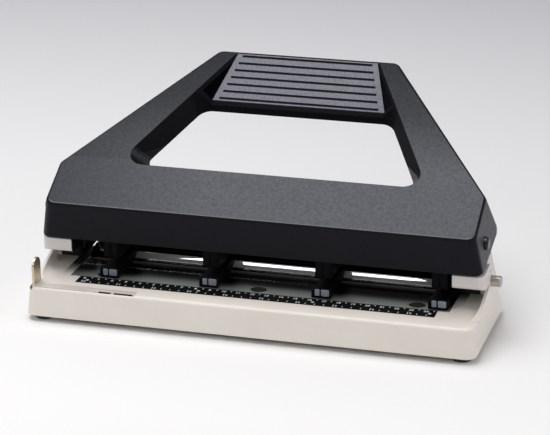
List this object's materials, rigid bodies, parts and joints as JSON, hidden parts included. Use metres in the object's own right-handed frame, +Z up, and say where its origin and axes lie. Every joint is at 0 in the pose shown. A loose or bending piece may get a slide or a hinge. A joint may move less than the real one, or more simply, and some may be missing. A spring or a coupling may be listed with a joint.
{
  "type": "four-hole punch",
  "caption": "Desk hole punch with a loop lever, punch heads that slide on a polished rail behind a scale, and a pull-out paper stop.",
  "frame": {"origin": "middle of the footprint, on the surface that the feet stand on", "axes": "+X to the right along the scale, +Y to the rear towards the grip, +Z up"},
  "size_m": [0.324, 0.1692, 0.151],
  "materials": {
    "base_paint": "satin baked enamel, fine orange peel",
    "bracket_paint": "satin enamel over casting",
    "tray_plastic": "matte moulded plastic",
    "foot_rubber": "matte rubber",
    "scale_black": "satin black with printed white scale",
    "bright_steel": "bright nickel plate",
    "chrome": "polished",
    "plate_steel": "rolled steel, half polished",
    "head_black": "black powder coat",
    "tool_steel": "ground steel",
    "spring_steel": "drawn wire",
    "marker_pale": "satin pale grey",
    "cover_plastic": "fine leather-grain moulding",
    "pad_plastic": "satin moulded, grooved",
    "beam_steel": "black oxide",
    "pin_black": "gloss black",
    "screw_steel": "zinc plated"
  },
  "bodies": {
    "base": {"base_casting": "base_paint", "chip_tray": "tray_plastic", "foot_front_left": "foot_rubber", "foot_front_right": "foot_rubber", "foot_rear_left": "foot_rubber", "foot_rear_right": "foot_rubber", "scale_strip": "scale_black", "slide_plate": "plate_steel", "guide_rail": "chrome", "guide_rod": "chrome", "bracket_left": "bracket_paint", "bracket_right": "bracket_paint", "bracket_pin_left": "chrome", "bracket_pin_right": "chrome"},
    "stop": {"paper_stop": "bright_steel"},
    "lever": {"lever_cover": "cover_plastic", "grip_pad": "pad_plastic", "press_beam": "beam_steel", "press_rod": "tool_steel", "pivot_pin_left": "pin_black", "pivot_pin_right": "pin_black", "cover_screws": "screw_steel"},
    "head_1": {"head_frame_1": "head_black", "die_bush_1": "tool_steel", "marker_1": "marker_pale", "spring_1": "spring_steel"},
    "punch_1": {"punch_1": "tool_steel"},
    "head_2": {"head_frame_2": "head_black", "die_bush_2": "tool_steel", "marker_2": "marker_pale", "spring_2": "spring_steel"},
    "punch_2": {"punch_2": "tool_steel"},
    "head_3": {"head_frame_3": "head_black", "die_bush_3": "tool_steel", "marker_3": "marker_pale", "spring_3": "spring_steel"},
    "punch_3": {"punch_3": "tool_steel"},
    "head_4": {"head_frame_4": "head_black", "die_bush_4": "tool_steel", "marker_4": "marker_pale", "spring_4": "spring_steel"},
    "punch_4": {"punch_4": "tool_steel"}
  },
  "joints": [
    {"name": "lever_press", "type": "hinge", "parent": "base", "child": "lever", "pos_m": [0, -0.03818, 0.0683], "axis": [-1, 0, 0], "range_deg": [0, 26], "stiffness_Nm_per_rad": 2, "springref_deg": -20.05},
    {"name": "paper_stop_slide", "type": "slide", "parent": "base", "child": "stop", "axis": [-1, 0, 0], "range_m": [0, 0.055]},
    {"name": "head_1_slide", "type": "slide", "parent": "base", "child": "head_1", "axis": [1, 0, 0], "range_m": [-0.019, 0.02]},
    {"name": "punch_1_stroke", "type": "slide", "parent": "head_1", "child": "punch_1", "axis": [0, 0, -1], "range_m": [0, 0.00668], "deforming": ["spring_1"]},
    {"name": "head_2_slide", "type": "slide", "parent": "base", "child": "head_2", "axis": [1, 0, 0], "range_m": [-0.02, 0.02]},
    {"name": "punch_2_stroke", "type": "slide", "parent": "head_2", "child": "punch_2", "axis": [0, 0, -1], "range_m": [0, 0.00668], "deforming": ["spring_2"]},
    {"name": "head_3_slide", "type": "slide", "parent": "base", "child": "head_3", "axis": [1, 0, 0], "range_m": [-0.02, 0.02]},
    {"name": "punch_3_stroke", "type": "slide", "parent": "head_3", "child": "punch_3", "axis": [0, 0, -1], "range_m": [0, 0.00668], "deforming": ["spring_3"]},
    {"name": "head_4_slide", "type": "slide", "parent": "base", "child": "head_4", "axis": [1, 0, 0], "range_m": [-0.02, 0.0015]},
    {"name": "punch_4_stroke", "type": "slide", "parent": "head_4", "child": "punch_4", "axis": [0, 0, -1], "range_m": [0, 0.00668], "deforming": ["spring_4"]}
  ],
  "couplings": [
    {"joint": "punch_1_stroke", "follows": "lever_press", "m_per_rad": 0.014669},
    {"joint": "punch_2_stroke", "follows": "lever_press", "m_per_rad": 0.014669},
    {"joint": "punch_3_stroke", "follows": "lever_press", "m_per_rad": 0.014669},
    {"joint": "punch_4_stroke", "follows": "lever_press", "m_per_rad": 0.014669}
  ]
}
